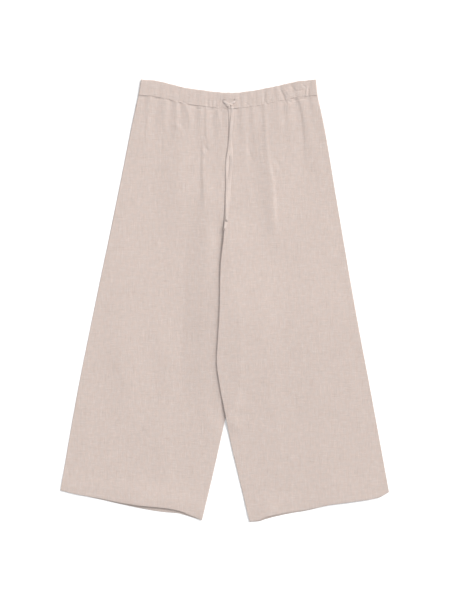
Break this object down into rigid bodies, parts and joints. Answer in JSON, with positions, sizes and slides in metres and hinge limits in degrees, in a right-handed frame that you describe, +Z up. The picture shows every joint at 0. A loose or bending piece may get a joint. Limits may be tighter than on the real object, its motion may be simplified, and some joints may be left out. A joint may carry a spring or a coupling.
{
  "type": "palazzo trousers",
  "caption": "Cropped wide-leg linen palazzo trousers laid flat, front up, with a gathered elastic waistband, a knotted drawstring with hanging ties and one inner leg edge lying over the other.",
  "frame": {"origin": "centre of the garment's outline, on the surface it lies on", "axes": "+Y to the waist, +X to the right as seen from above, +Z up off the surface, with the front of the garment up"},
  "size_m": [0.7226, 0.9724, 0.0149],
  "materials": {
    "linen": "oatmeal linen, plain weave with lighter and darker slubs both ways, soft and matt",
    "drawstring": "narrow tie folded from the same linen, matt"
  },
  "bodies": {
    "root": {"front_leg_left": "linen", "front_leg_right": "linen", "back_leg_left": "linen", "back_leg_right": "linen", "waistband_front": "linen", "waistband_back": "linen", "drawstring_knot": "drawstring", "tie_left": "drawstring", "tie_right": "drawstring", "tie_end_left": "drawstring", "tie_end_right": "drawstring"}
  },
  "joints": []
}
